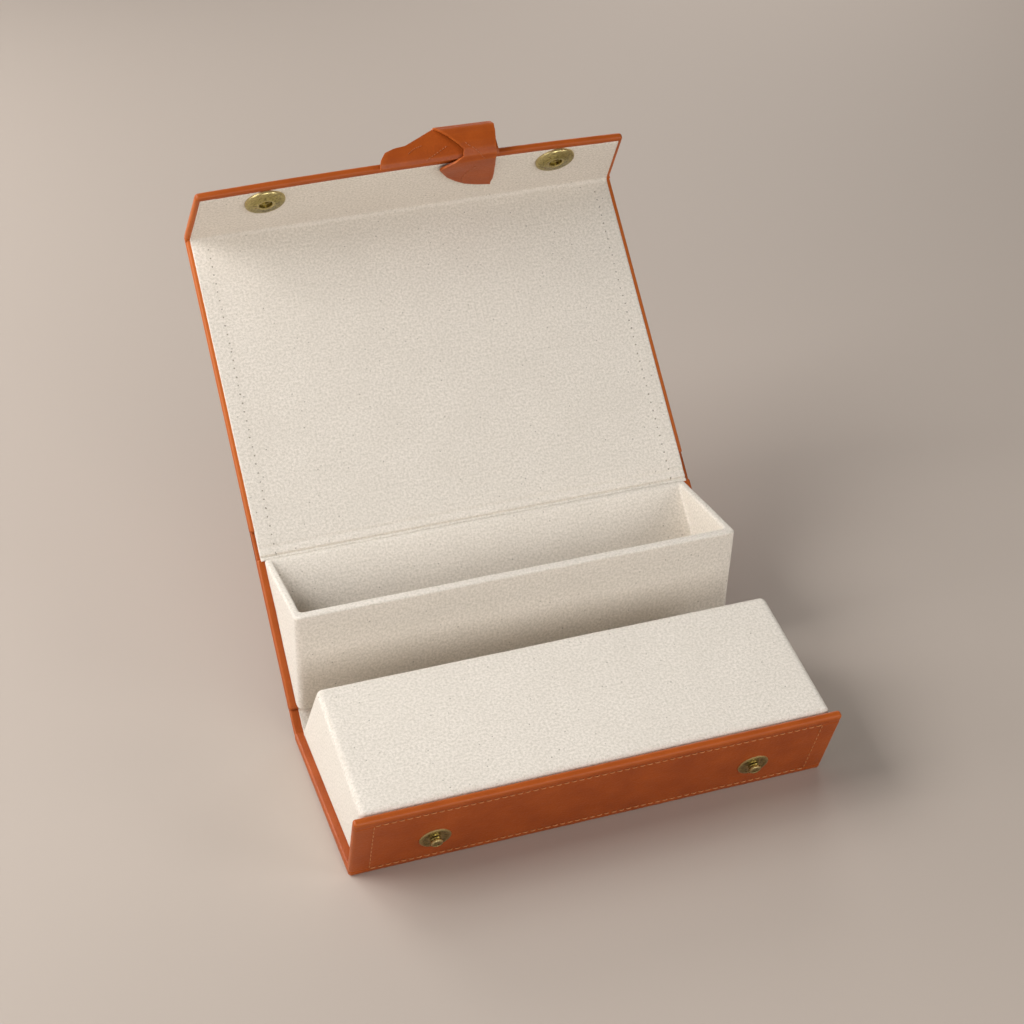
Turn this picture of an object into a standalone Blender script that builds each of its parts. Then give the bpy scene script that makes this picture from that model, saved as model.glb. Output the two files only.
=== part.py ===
"""Book-shaped gift box in leather and linen, standing open.

A chain of leather-covered boards: front wall, base, spine, cover and closing flap.
A linen-covered block fills the base, and an open linen tray is fixed to the spine.
Metres, +Z up. X runs across the box, Y from front to back.
The origin is the centre of the base's underside.
"""

import math

import bmesh
import bpy
from mathutils import Matrix, Vector

# Overall sizes of the boards in their leather
BOX_WIDTH = 0.200
BASE_DEPTH = 0.090
FRONT_HEIGHT = 0.0421
SPINE_GUTTER = 0.01204
SPINE_LENGTH = 0.0724
COVER_LENGTH = 0.1411
FLAP_LENGTH = 0.0371
FLAP_ARCH = 0.0028
FLAP_TAPER = 0.0028
COVER_GUTTER = 0.012

# How the box stands open, in degrees above the floor or from the panel before
FRONT_LEAN = 23.0
SPINE_RISE = 44.45
FLAP_FOLD = 84.89

# How far each fold turns on from there until the box is shut
SPINE_CLOSES = 30.0
COVER_CLOSES = 121.08

# What each panel is made of
LEATHER = 0.0012
LINING = 0.0005
BOARD = 0.0014
BARE_BOARD = 0.0019
GAP = 0.0003
RIM = 0.0020
EDGE_RADIUS = 0.0011
CREASE_RADIUS = 0.0015
PANEL = LEATHER + GAP + BARE_BOARD
LINED_PANEL = LEATHER + GAP + BOARD + GAP + LINING
HINGE_DEPTH = 0.0010
FOLD_EDGE_RADIUS = 0.0004

# The block in the base
BOX_INSET = 0.0033
BLOCK_BACK_HEIGHT = 0.0521
BLOCK_TOP_DEPTH = 0.0528
BLOCK_SETBACK = 0.0005
BLOCK_FRONT_DROP = 0.0008
BLOCK_RADIUS = 0.0030

# The tray on the spine, measured along the spine and out from its outer face
TRAY_BACK_LENGTH = 0.0630
TRAY_BACK_START = 0.0029
TRAY_RIM_ALONG = 0.0296
TRAY_RIM_OUT = 0.0505
TRAY_FOOT_ALONG = -0.0015
TRAY_FOOT_OUT = 0.0093
TRAY_SIDE_WALL = 0.0033
TRAY_FRONT_WALL = 0.0050
TRAY_BACK_WALL = 0.0022
TRAY_FLOOR = 0.0040
TRAY_RADIUS = 0.0030
TRAY_MOUTH_RADIUS = 0.0012

# The magnetic snaps: how far in from the box's sides, and from the flap's fold
SNAP_INSET = 0.0335
SOCKET_ALONG = 0.0275
PLATE_RADIUS = 0.0065
PLATE_THICKNESS = 0.0005
PLATE_HOLE_RADIUS = 0.0016
PLATE_RIM_RADIUS = 0.0003
NECK_RADIUS = 0.0020
NECK_LENGTH = 0.0008
HEAD_RADIUS = 0.00265
HEAD_LENGTH = 0.0018
HEAD_ROUND = 0.0007
SHANK_RADIUS = 0.0011
SOCKET_RADIUS = 0.0090
SOCKET_THICKNESS = 0.0020
SOCKET_STEP_RADIUS = 0.0068
SOCKET_STEP = 0.0004
SOCKET_WALL = 0.0005
HEAD_CLEARANCE = 0.00035
WASHER_RADIUS = 0.0060
WASHER_THICKNESS = 0.0005

# The folded pull tab, across the flap, along it and out from its lining
TAB_THICKNESS = 0.0010
TAB_FOOT_LEFT = -0.0160
TAB_FOOT_RIGHT = 0.0360
TAB_FOOT_OVERLAP = 0.0030
TAB_WAIST_LEFT = -0.0107
TAB_REACH = 0.0150
TAB_FOLD_LEFT = 0.0108
TAB_FOLD_RIGHT = 0.0372
TAB_FOLD_RISE = 0.0020
TAB_NOTCH = 0.0208
TAB_POINT_LEFT = 0.0105
TAB_POINT_RIGHT = 0.0388
TAB_POINT_ALONG = 0.0345
TAB_TIP_LEFT = 0.0250
TAB_TIP_RIGHT = 0.0375
TAB_TIP_ALONG = 0.0165
TAB_SHOULDER_ALONG = 0.0250
TAB_SHOULDER_LEFT = 0.0160

# How finely round forms are drawn
BEND_STEPS = 4
EDGE_STEPS = 3
TURN_SIDES = 36
ARCH_STEPS = 12
TAB_STEPS = 8
SMOOTH_BELOW = 40

# How far a cutter goes past what it cuts, and the size that a frame's empty is drawn
OVERRUN = 0.0100
FRAME_MARK = 0.0050

# Colours, roughness and metallic value of each finish
LEATHER_LOOK = ((0.46, 0.13, 0.035), 0.45, 0.0)
LINEN_LOOK = ((0.74, 0.69, 0.60), 0.9, 0.0)
CARD_LOOK = ((0.55, 0.50, 0.42), 0.9, 0.0)
WOOD_LOOK = ((0.62, 0.47, 0.30), 0.8, 0.0)
BRASS_LOOK = ((0.32, 0.24, 0.10), 0.35, 1.0)
STEEL_LOOK = ((0.55, 0.55, 0.56), 0.4, 1.0)


def direction(degrees):
    """Unit vector in the plane across the box, from an angle above the floor."""
    angle = math.radians(degrees)
    return Vector((math.cos(angle), math.sin(angle)))


def arc(centre, radius, start, end, steps):
    """Points of an arc in a section, with its angles in degrees."""
    turn = (end - start) / steps
    return [centre + radius * direction(start + turn * i) for i in range(steps + 1)]


def meeting(point_a, way_a, point_b, way_b):
    """Where two lines of a section cross."""
    across = way_a.x * way_b.y - way_a.y * way_b.x
    apart = point_b - point_a
    return point_a + way_a * ((apart.x * way_b.y - apart.y * way_b.x) / across)


def inset(outline, amounts):
    """A convex outline, drawn anticlockwise, with each side moved in by its own amount."""
    sides = []
    for i, start in enumerate(outline):
        way = (outline[(i + 1) % len(outline)] - start).normalized()
        inward = Vector((-way.y, way.x))
        sides.append((start + inward * amounts[i], way))
    return [meeting(*sides[i - 1], *sides[i]) for i in range(len(sides))]


# Frames: an empty stands on each fold's axis, its Y along the panel and its Z towards the inside


def clear_scene():
    for old in list(bpy.data.objects):
        bpy.data.objects.remove(old)


def frame(name, place, degrees, parent=None):
    """An empty at a place in the section, turned about X by an angle above the floor."""
    empty = bpy.data.objects.new(name, None)
    bpy.context.scene.collection.objects.link(empty)
    empty.empty_display_size = FRAME_MARK
    turn = Matrix.Rotation(math.radians(degrees), 4, "X")
    world = Matrix.Translation((0, place.x, place.y)) @ turn
    bpy.context.view_layer.update()
    if parent:
        empty.parent = parent
        world = parent.matrix_world.inverted() @ world
    empty.matrix_local = world
    bpy.context.view_layer.update()
    return empty


def finish(name, look):
    colour, roughness, metallic = look
    material = bpy.data.materials.new(name)
    material.use_nodes = True
    shader = material.node_tree.nodes["Principled BSDF"]
    shader.inputs["Base Color"].default_value = (*colour, 1)
    shader.inputs["Roughness"].default_value = roughness
    shader.inputs["Metallic"].default_value = metallic
    return material


def piece(name, mesh_source, parent, look=None, smooth=False):
    """An object from a bmesh, in its parent frame; without a look it is a cutter."""
    bmesh.ops.recalc_face_normals(mesh_source, faces=mesh_source.faces)
    mesh = bpy.data.meshes.new(name)
    mesh_source.to_mesh(mesh)
    mesh_source.free()
    made = bpy.data.objects.new(name, mesh)
    bpy.context.scene.collection.objects.link(made)
    made.parent = parent
    if look is None:
        made.hide_render = True
        made.display_type = "WIRE"
    else:
        mesh.materials.append(finish(name, look))
    if smooth:
        mesh.shade_smooth()
        mesh.set_sharp_from_angle(angle=math.radians(SMOOTH_BELOW))
    return made


def cut(target, cutter):
    """Takes the cutter's shape out of the target."""
    boolean = target.modifiers.new(cutter.name, "BOOLEAN")
    boolean.operation = "DIFFERENCE"
    boolean.solver = "EXACT"
    boolean.object = cutter
    return target


def prism(outline, half_width, corners=(), sides=(), radius=0.0):
    """A section drawn out across the box.

    The long edges at the corners named, and the end edges of the sides named, are rounded.
    """
    bm = bmesh.new()
    left = [bm.verts.new((-half_width, p.x, p.y)) for p in outline]
    right = [bm.verts.new((half_width, p.x, p.y)) for p in outline]
    bm.faces.new(left)
    bm.faces.new(right)
    count = len(outline)
    for i in range(count):
        j = (i + 1) % count
        bm.faces.new((left[i], left[j], right[j], right[i]))
    rounded = [bm.edges.get((left[i], right[i])) for i in corners]
    for row in (left, right):
        rounded += [bm.edges.get((row[i], row[(i + 1) % count])) for i in sides]
    if rounded:
        bmesh.ops.recalc_face_normals(bm, faces=bm.faces)
        bmesh.ops.bevel(
            bm,
            geom=rounded,
            offset=radius,
            segments=EDGE_STEPS,
            affect="EDGES",
            profile=0.5,
            clamp_overlap=True,
        )
    return bm


def plate(outline, low, high, radius=0.0, flat_side=None):
    """A flat outline drawn out towards the inside, its free edges rounded except along one side."""
    bm = bmesh.new()
    bottom = [bm.verts.new((p.x, p.y, low)) for p in outline]
    top = [bm.verts.new((p.x, p.y, high)) for p in outline]
    bm.faces.new(bottom)
    bm.faces.new(top)
    count = len(outline)
    for i in range(count):
        j = (i + 1) % count
        bm.faces.new((bottom[i], bottom[j], top[j], top[i]))
    if radius:
        rounded = []
        for row in (bottom, top):
            rounded += [
                bm.edges.get((row[i], row[(i + 1) % count])) for i in range(count) if i != flat_side
            ]
        bmesh.ops.recalc_face_normals(bm, faces=bm.faces)
        bmesh.ops.bevel(bm, geom=rounded, offset=radius, segments=EDGE_STEPS, affect="EDGES", profile=0.5)
    return bm


def turned(profile, place):
    """A closed profile of (radius, height) points turned about the panel's normal at a place on it."""
    bm = bmesh.new()
    rings = []
    for radius, height in profile:
        if radius == 0:
            rings.append([bm.verts.new((place.x, place.y, height))])
            continue
        ring = []
        for i in range(TURN_SIDES):
            angle = math.tau * i / TURN_SIDES
            across = place.x + radius * math.cos(angle)
            along = place.y + radius * math.sin(angle)
            ring.append(bm.verts.new((across, along, height)))
        rings.append(ring)
    pairs = list(zip(rings, rings[1:]))
    if len(rings[0]) > 1:
        pairs.append((rings[-1], rings[0]))
    for lower, upper in pairs:
        for i in range(TURN_SIDES):
            j = (i + 1) % TURN_SIDES
            corners = [lower[i % len(lower)], lower[j % len(lower)]]
            corners += [upper[j % len(upper)], upper[i % len(upper)]]
            bm.faces.new(list(dict.fromkeys(corners)))
    return bm


def peg(radius, low, high, place):
    """A plain round cutter."""
    return turned([(0, low), (radius, low), (radius, high), (0, high)], place)


# The section of the open box


class Section:
    """Places in the plane across the box, worked out from the driving sizes."""

    def __init__(self):
        self.front_edge = Vector((-BASE_DEPTH / 2, 0))
        self.back_edge = Vector((BASE_DEPTH / 2, 0))
        self.front_way = direction(90 + FRONT_LEAN)
        self.front_in = direction(FRONT_LEAN)
        self.front_top = self.front_edge + self.front_way * FRONT_HEIGHT
        spine_way = direction(SPINE_RISE)
        spine_in = direction(SPINE_RISE + 90)
        self.spine_axis = self.back_edge + spine_way * (SPINE_GUTTER / 2) + spine_in * HINGE_DEPTH
        self.cover_axis = self.spine_axis + spine_way * (SPINE_GUTTER / 2 + SPINE_LENGTH)
        self.fold_axis = self.cover_axis + spine_way * COVER_LENGTH
        self.fold_axis = self.fold_axis + spine_in * (LINED_PANEL - HINGE_DEPTH)

    def shut_fold(self):
        """Where the flap's fold comes to lie when the box is shut."""
        arm = self.cover_axis - self.spine_axis
        arm.rotate(Matrix.Rotation(math.radians(SPINE_CLOSES), 2))
        shut_cover = self.spine_axis + arm
        shut_angle = SPINE_RISE + SPINE_CLOSES + COVER_CLOSES
        reach = direction(shut_angle) * COVER_LENGTH
        return shut_cover + reach + direction(shut_angle + 90) * (LINED_PANEL - HINGE_DEPTH)

    def stud_height(self):
        """How far up the front wall a stud sits, so that it meets its socket when the box is shut."""
        fold_height = (self.shut_fold() - self.front_edge).dot(self.front_way)
        return fold_height - SOCKET_ALONG


def snap_places():
    """The name and place across the box of each of the two snaps."""
    across = BOX_WIDTH / 2 - SNAP_INSET
    return (("left", -across), ("right", across))


# Base and front wall


def base_outline():
    """The leather's side view: flat under the base, folded up in front, mitred at the back."""
    section = Section()
    half_corner = math.radians(90 + FRONT_LEAN) / 2
    mitre = math.tan(math.radians(SPINE_RISE) / 2)
    corner_set = CREASE_RADIUS / math.tan(half_corner)
    corner = arc(
        section.front_edge + Vector((corner_set, CREASE_RADIUS)),
        CREASE_RADIUS,
        270,
        180 + FRONT_LEAN,
        BEND_STEPS,
    )
    tip = section.front_top - section.front_way * EDGE_RADIUS
    outer = arc(
        tip + section.front_in * EDGE_RADIUS,
        EDGE_RADIUS,
        180 + FRONT_LEAN,
        90 + FRONT_LEAN,
        EDGE_STEPS,
    )
    inner = arc(
        tip + section.front_in * (PANEL - EDGE_RADIUS),
        EDGE_RADIUS,
        90 + FRONT_LEAN,
        FRONT_LEAN,
        EDGE_STEPS,
    )
    inside_corner = section.front_edge + Vector((PANEL / math.tan(half_corner), PANEL))
    back_low = section.back_edge - Vector((GAP / 2, 0))
    back_high = back_low + Vector((-PANEL * mitre, PANEL))
    return [back_low, *corner, *outer, *inner, inside_corner, back_high]


def base_pocket_outline():
    """What the leather leaves free for the two boards: from the front wall's rim to past the back."""
    section = Section()
    half_corner = math.radians(90 + FRONT_LEAN) / 2
    low_corner = section.front_edge + Vector((LEATHER / math.tan(half_corner), LEATHER))
    high_corner = section.front_edge + Vector((OVERRUN / math.tan(half_corner), OVERRUN))
    rim_low = section.front_top - section.front_way * RIM + section.front_in * LEATHER
    rim_high = rim_low + section.front_in * OVERRUN
    back_low = Vector((section.back_edge.x + OVERRUN, LEATHER))
    back_high = back_low + Vector((0, OVERRUN))
    return [back_low, low_corner, rim_low, rim_high, high_corner, back_high]


def build_base(root, front):
    outline = base_outline()
    leather = piece(
        "base_leather",
        prism(outline, BOX_WIDTH / 2, sides=range(len(outline) - 1), radius=EDGE_RADIUS),
        root,
        LEATHER_LOOK,
    )
    cut(leather, piece("base_pocket", prism(base_pocket_outline(), BOX_WIDTH / 2 - RIM), root))

    half = BOX_WIDTH / 2 - RIM - GAP
    half_corner = math.radians(90 + FRONT_LEAN) / 2
    mitre = math.tan(math.radians(SPINE_RISE) / 2)
    low = LEATHER + GAP
    high = PANEL
    share_of_corner = 1 / math.tan(half_corner)
    front_low = -BASE_DEPTH / 2 + low * share_of_corner + GAP
    front_high = -BASE_DEPTH / 2 + high * share_of_corner + GAP
    back = BASE_DEPTH / 2 - high * mitre - GAP
    base_board = [
        Vector((front_low, low)),
        Vector((back, low)),
        Vector((back, high)),
        Vector((front_high, high)),
    ]
    piece("base_board", prism(base_board, half), root, CARD_LOOK)

    top = FRONT_HEIGHT - RIM - GAP
    front_board = [
        Vector((low * share_of_corner + GAP, low)),
        Vector((top, low)),
        Vector((top, high)),
        Vector((high * share_of_corner + GAP, high)),
    ]
    mirrored = [Vector((-p.x, p.y)) for p in reversed(front_board)]
    board = piece("front_board", prism(mirrored, half), front, CARD_LOOK)
    for name, across in snap_places():
        place = Vector((across, -Section().stud_height()))
        hole = peg(SHANK_RADIUS + GAP, -OVERRUN, LEATHER + GAP / 2, place)
        cut(leather, piece(f"stud_hole_{name}", hole, front))
        recess_top = low + WASHER_THICKNESS + GAP
        recess = peg(WASHER_RADIUS + GAP, -OVERRUN, recess_top, place)
        cut(board, piece(f"stud_recess_{name}", recess, front))


def block_outline():
    """The block's side view, anticlockwise from its front foot."""
    section = Section()
    behind_front = section.front_edge + section.front_in * (PANEL + GAP)
    floor = Vector((0, PANEL + 2 * GAP))
    front_foot = meeting(behind_front, section.front_way, floor, direction(0))
    back_foot = Vector((BASE_DEPTH / 2 - BLOCK_SETBACK, floor.y))
    back_top = Vector((BLOCK_TOP_DEPTH - BASE_DEPTH / 2, BLOCK_BACK_HEIGHT))
    front_top = behind_front + section.front_way * (FRONT_HEIGHT - BLOCK_FRONT_DROP)
    return [front_foot, back_foot, back_top, front_top]


def build_block(root):
    outline = block_outline()
    half = BOX_WIDTH / 2 - BOX_INSET
    # sides of the outline: floor, back, top and front
    fabric = piece(
        "block_fabric",
        prism(outline, half, corners=(2, 3), sides=(1, 2), radius=BLOCK_RADIUS),
        root,
        LINEN_LOOK,
        smooth=True,
    )
    inside = inset(outline, (-OVERRUN, LINING, LINING, -OVERRUN))
    hollow = prism(
        inside, half - LINING, corners=(2, 3), sides=(1, 2), radius=BLOCK_RADIUS - LINING
    )
    cut(fabric, piece("block_hollow", hollow, root))
    skin = LINING + GAP
    core = inset(outline, (0, skin, skin, 0))
    solid = prism(core, half - skin, corners=(2, 3), sides=(1, 2), radius=BLOCK_RADIUS - skin)
    piece("block_core", solid, root, WOOD_LOOK)


# Flat panels of leather round a board, in their own frames


def panel_leather(name, parent, start, end, outer):
    """A leather tray for a board: open at both ends, with turned-in margins at the sides."""
    rim = outer + PANEL
    outline = [
        Vector((start, outer)),
        Vector((end, outer)),
        Vector((end, rim)),
        Vector((start, rim)),
    ]
    leather = piece(
        name,
        prism(outline, BOX_WIDTH / 2, sides=(0, 2), radius=EDGE_RADIUS),
        parent,
        LEATHER_LOOK,
    )
    pocket = [
        Vector((start - OVERRUN, outer + LEATHER)),
        Vector((end + OVERRUN, outer + LEATHER)),
        Vector((end + OVERRUN, rim + OVERRUN)),
        Vector((start - OVERRUN, rim + OVERRUN)),
    ]
    return cut(leather, piece(f"{name}_pocket", prism(pocket, BOX_WIDTH / 2 - RIM), parent))


def slab(name, parent, start, end, low, thickness, look):
    """A flat sheet of board or lining between the leather's side margins."""
    outline = [
        Vector((start, low)),
        Vector((end, low)),
        Vector((end, low + thickness)),
        Vector((start, low + thickness)),
    ]
    return piece(name, prism(outline, BOX_WIDTH / 2 - RIM - GAP), parent, look)


def hinge_strips(name, parent, start, end, mitre):
    """The thin leather and lining between two boards, where the case bends."""
    outer = -HINGE_DEPTH
    rim = outer + LEATHER + GAP + LINING
    outline = [
        Vector((start, outer)),
        Vector((end, outer)),
        Vector((end, rim)),
        Vector((start + (rim - outer) * mitre, rim)),
    ]
    leather = piece(
        f"{name}_leather",
        prism(outline, BOX_WIDTH / 2, sides=(0, 2), radius=FOLD_EDGE_RADIUS),
        parent,
        LEATHER_LOOK,
    )
    pocket = [
        Vector((start - OVERRUN, outer + LEATHER)),
        Vector((end + OVERRUN, outer + LEATHER)),
        Vector((end + OVERRUN, rim + OVERRUN)),
        Vector((start - OVERRUN, rim + OVERRUN)),
    ]
    cut(leather, piece(f"{name}_pocket", prism(pocket, BOX_WIDTH / 2 - RIM), parent))
    inset_start = start + (rim - outer) * mitre
    slab(f"{name}_lining", parent, inset_start, end, outer + LEATHER + GAP, LINING, LINEN_LOOK)


# Spine and tray


def build_spine(spine):
    mitre = math.tan(math.radians(SPINE_RISE) / 2)
    crease = SPINE_GUTTER / 2
    hinge_strips("spine_gutter", spine, -crease + GAP / 2, crease - GAP / 2, mitre)
    start = crease + GAP / 2
    end = crease + SPINE_LENGTH - COVER_GUTTER / 2 - GAP / 2
    outer = -HINGE_DEPTH
    panel_leather("spine_leather", spine, start, end, outer)
    board_low = outer + LEATHER + GAP
    slab("spine_board", spine, start + GAP, end - GAP, board_low, BARE_BOARD, CARD_LOOK)


def tray_outline():
    """The tray's side view on the spine, anticlockwise: back, rim, front and foot."""
    crease = SPINE_GUTTER / 2
    out = -HINGE_DEPTH
    back_out = out + PANEL + GAP
    return [
        Vector((crease + TRAY_BACK_START, back_out)),
        Vector((crease + TRAY_BACK_START + TRAY_BACK_LENGTH, back_out)),
        Vector((crease + TRAY_RIM_ALONG, out + TRAY_RIM_OUT)),
        Vector((crease + TRAY_FOOT_ALONG, out + TRAY_FOOT_OUT)),
    ]


def build_tray(spine):
    outline = tray_outline()
    half = BOX_WIDTH / 2 - BOX_INSET
    walls = (TRAY_BACK_WALL, -OVERRUN, TRAY_FRONT_WALL, TRAY_FLOOR)

    def body(skin):
        """The tray's outer form with this much taken off all round."""
        return prism(
            inset(outline, (skin, skin, skin, skin)), half - skin, sides=(2,), radius=TRAY_RADIUS - skin
        )

    def room(skin):
        """The compartment, open through the rim, with this much lining round it."""
        inside = inset(outline, [wall - skin for wall in walls])
        return prism(inside, half - TRAY_SIDE_WALL + skin, sides=(0, 2), radius=TRAY_MOUTH_RADIUS)

    wrap = piece("tray_wrap", body(0), spine, LINEN_LOOK, smooth=True)
    cut(wrap, piece("tray_wrap_hollow", body(LINING), spine))
    cut(wrap, piece("tray_mouth", room(0), spine))
    board = piece("tray_board", body(LINING + GAP), spine, CARD_LOOK)
    cut(board, piece("tray_board_hollow", room(LINING + GAP), spine))

    lining_top = LINING + GAP
    lined = inset(
        outline,
        (TRAY_BACK_WALL - LINING, lining_top, TRAY_FRONT_WALL - LINING, TRAY_FLOOR - LINING),
    )
    lining_half = half - TRAY_SIDE_WALL + LINING
    lining = piece(
        "tray_lining",
        prism(lined, lining_half, sides=(0, 2), radius=TRAY_MOUTH_RADIUS),
        spine,
        LINEN_LOOK,
        smooth=True,
    )
    cut(lining, piece("tray_lining_hollow", room(0), spine))


# Cover


def build_cover(cover):
    gutter = COVER_GUTTER / 2
    hinge_strips("cover_gutter", cover, -gutter + GAP / 2, gutter - GAP / 2, 0)
    start = gutter + GAP / 2
    outer = -HINGE_DEPTH
    panel_leather("cover_leather", cover, start, COVER_LENGTH - GAP / 2, outer)
    low = outer + LEATHER + GAP
    slab("cover_board", cover, start + GAP, COVER_LENGTH - RIM, low, BOARD, CARD_LOOK)
    end = COVER_LENGTH - GAP
    slab("cover_lining", cover, start, end, low + BOARD + GAP, LINING, LINEN_LOOK)


def build_fold(cover):
    """The leather that bends round the flap's fold, with its crease outside."""
    turn = math.tan(math.radians(FLAP_FOLD) / 2)
    flap_way = direction(FLAP_FOLD)
    flap_out = direction(FLAP_FOLD - 90)
    fold = Vector((COVER_LENGTH, LINED_PANEL - HINGE_DEPTH))
    corner_set = LINED_PANEL * turn - CREASE_RADIUS * turn
    bend = arc(
        fold + Vector((corner_set, CREASE_RADIUS - LINED_PANEL)),
        CREASE_RADIUS,
        270,
        270 + FLAP_FOLD,
        BEND_STEPS,
    )
    within = LINED_PANEL - LEATHER
    outline = [
        fold + Vector((GAP / 2, -LINED_PANEL)),
        *bend,
        fold + flap_way * (GAP / 2) + flap_out * LINED_PANEL,
        fold + flap_way * (GAP / 2) + flap_out * within,
        fold + Vector((within * turn, -within)),
        fold + Vector((GAP / 2, -within)),
    ]
    edges = [i for i in range(len(outline)) if i not in (len(bend) + 1, len(outline) - 1)]
    strip = prism(outline, BOX_WIDTH / 2, sides=edges, radius=FOLD_EDGE_RADIUS)
    piece("fold_leather", strip, cover, LEATHER_LOOK)


# Flap


def flap_edge(margin, start):
    """The flap's outline from a start along it, drawn in by a margin.

    Its sides taper and its free edge is arched.
    """
    end = FLAP_LENGTH - margin
    near = BOX_WIDTH / 2 - margin - FLAP_TAPER * start / FLAP_LENGTH
    far = BOX_WIDTH / 2 - margin - FLAP_TAPER * end / FLAP_LENGTH
    points = [Vector((-near, start)), Vector((near, start))]
    for i in range(ARCH_STEPS + 1):
        share = 1 - 2 * i / ARCH_STEPS
        points.append(Vector((far * share, end + FLAP_ARCH * (1 - share * share))))
    return points


def build_flap(flap):
    outer = -LINED_PANEL
    leather = piece(
        "flap_leather",
        plate(flap_edge(0, GAP / 2), outer, outer + PANEL, EDGE_RADIUS, flat_side=0),
        flap,
        LEATHER_LOOK,
    )
    pocket = plate(flap_edge(RIM, -OVERRUN), outer + LEATHER, OVERRUN)
    cut(leather, piece("flap_pocket", pocket, flap))
    board_low = outer + LEATHER + GAP
    inner_edge = flap_edge(RIM + GAP, GAP)
    board = piece("flap_board", plate(inner_edge, board_low, board_low + BOARD), flap, CARD_LOOK)
    lining = piece("flap_lining", plate(inner_edge, -LINING, 0), flap, LINEN_LOOK)
    for name, across in snap_places():
        place = Vector((across, SOCKET_ALONG))
        recess_low = -LINING - GAP - WASHER_THICKNESS - GAP
        recess = peg(WASHER_RADIUS + GAP, recess_low, OVERRUN, place)
        cut(board, piece(f"socket_recess_{name}", recess, flap))
        hole = peg(HEAD_RADIUS + HEAD_CLEARANCE + GAP, -OVERRUN, OVERRUN, place)
        cut(lining, piece(f"socket_lining_hole_{name}", hole, flap))


# Snaps


def build_stud(front, name, across):
    """The snap's lower half on the front wall: a plate, a riveted post and its washer.

    The front frame's Z points into the box, so the stud grows towards -Z.
    """
    place = Vector((across, -Section().stud_height()))
    seat = -GAP
    face = seat - PLATE_THICKNESS
    plate_profile = [
        (PLATE_HOLE_RADIUS, seat),
        (PLATE_RADIUS, seat),
        (PLATE_RADIUS, face + PLATE_RIM_RADIUS),
        (PLATE_RADIUS - PLATE_RIM_RADIUS, face),
        (PLATE_HOLE_RADIUS, face),
    ]
    piece(f"stud_plate_{name}", turned(plate_profile, place), front, BRASS_LOOK, smooth=True)

    shoulder = face - GAP
    head_start = shoulder - NECK_LENGTH
    head_end = head_start - HEAD_LENGTH
    washer_low = LEATHER + GAP
    shank_end = washer_low + WASHER_THICKNESS
    crown_centre = Vector((HEAD_RADIUS - HEAD_ROUND, head_end + HEAD_ROUND))
    crown = [tuple(p) for p in arc(crown_centre, HEAD_ROUND, 0, -90, EDGE_STEPS)]
    post_profile = [
        (0, shank_end),
        (SHANK_RADIUS, shank_end),
        (SHANK_RADIUS, shoulder),
        (NECK_RADIUS, shoulder),
        (NECK_RADIUS, head_start),
        (HEAD_RADIUS, head_start),
        *crown,
        (0, head_end),
    ]
    piece(f"stud_post_{name}", turned(post_profile, place), front, BRASS_LOOK, smooth=True)

    bore = SHANK_RADIUS + GAP
    washer_profile = [
        (bore, washer_low),
        (WASHER_RADIUS, washer_low),
        (WASHER_RADIUS, washer_low + WASHER_THICKNESS),
        (bore, washer_low + WASHER_THICKNESS),
    ]
    piece(f"stud_washer_{name}", turned(washer_profile, place), front, STEEL_LOOK, smooth=True)


def build_socket(flap, name, across):
    """The snap's upper half on the flap: a housing, its ring magnet and a washer in the board."""
    place = Vector((across, SOCKET_ALONG))
    mouth = HEAD_RADIUS + HEAD_CLEARANCE
    back = GAP
    face = back + SOCKET_THICKNESS
    step = face - SOCKET_STEP
    ceiling = step - SOCKET_WALL
    housing_profile = [
        (mouth, back),
        (mouth, face),
        (SOCKET_STEP_RADIUS - SOCKET_STEP, face),
        (SOCKET_STEP_RADIUS, step),
        (SOCKET_RADIUS - SOCKET_STEP, step),
        (SOCKET_RADIUS, step - SOCKET_STEP),
        (SOCKET_RADIUS, back),
        (SOCKET_RADIUS - SOCKET_WALL, back),
        (SOCKET_RADIUS - SOCKET_WALL, ceiling),
        (mouth + SOCKET_WALL, ceiling),
        (mouth + SOCKET_WALL, back),
    ]
    piece(f"socket_housing_{name}", turned(housing_profile, place), flap, BRASS_LOOK, smooth=True)

    inner = mouth + SOCKET_WALL + GAP
    outer = SOCKET_RADIUS - SOCKET_WALL - GAP
    magnet_profile = [(inner, back), (outer, back), (outer, ceiling - GAP), (inner, ceiling - GAP)]
    piece(f"socket_magnet_{name}", turned(magnet_profile, place), flap, STEEL_LOOK, smooth=True)

    washer_top = -LINING - GAP
    washer_low = washer_top - WASHER_THICKNESS
    bore = mouth + GAP
    washer_profile = [
        (bore, washer_low),
        (WASHER_RADIUS, washer_low),
        (WASHER_RADIUS, washer_top),
        (bore, washer_top),
    ]
    piece(f"socket_washer_{name}", turned(washer_profile, place), flap, STEEL_LOOK, smooth=True)


# Pull tab


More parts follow.
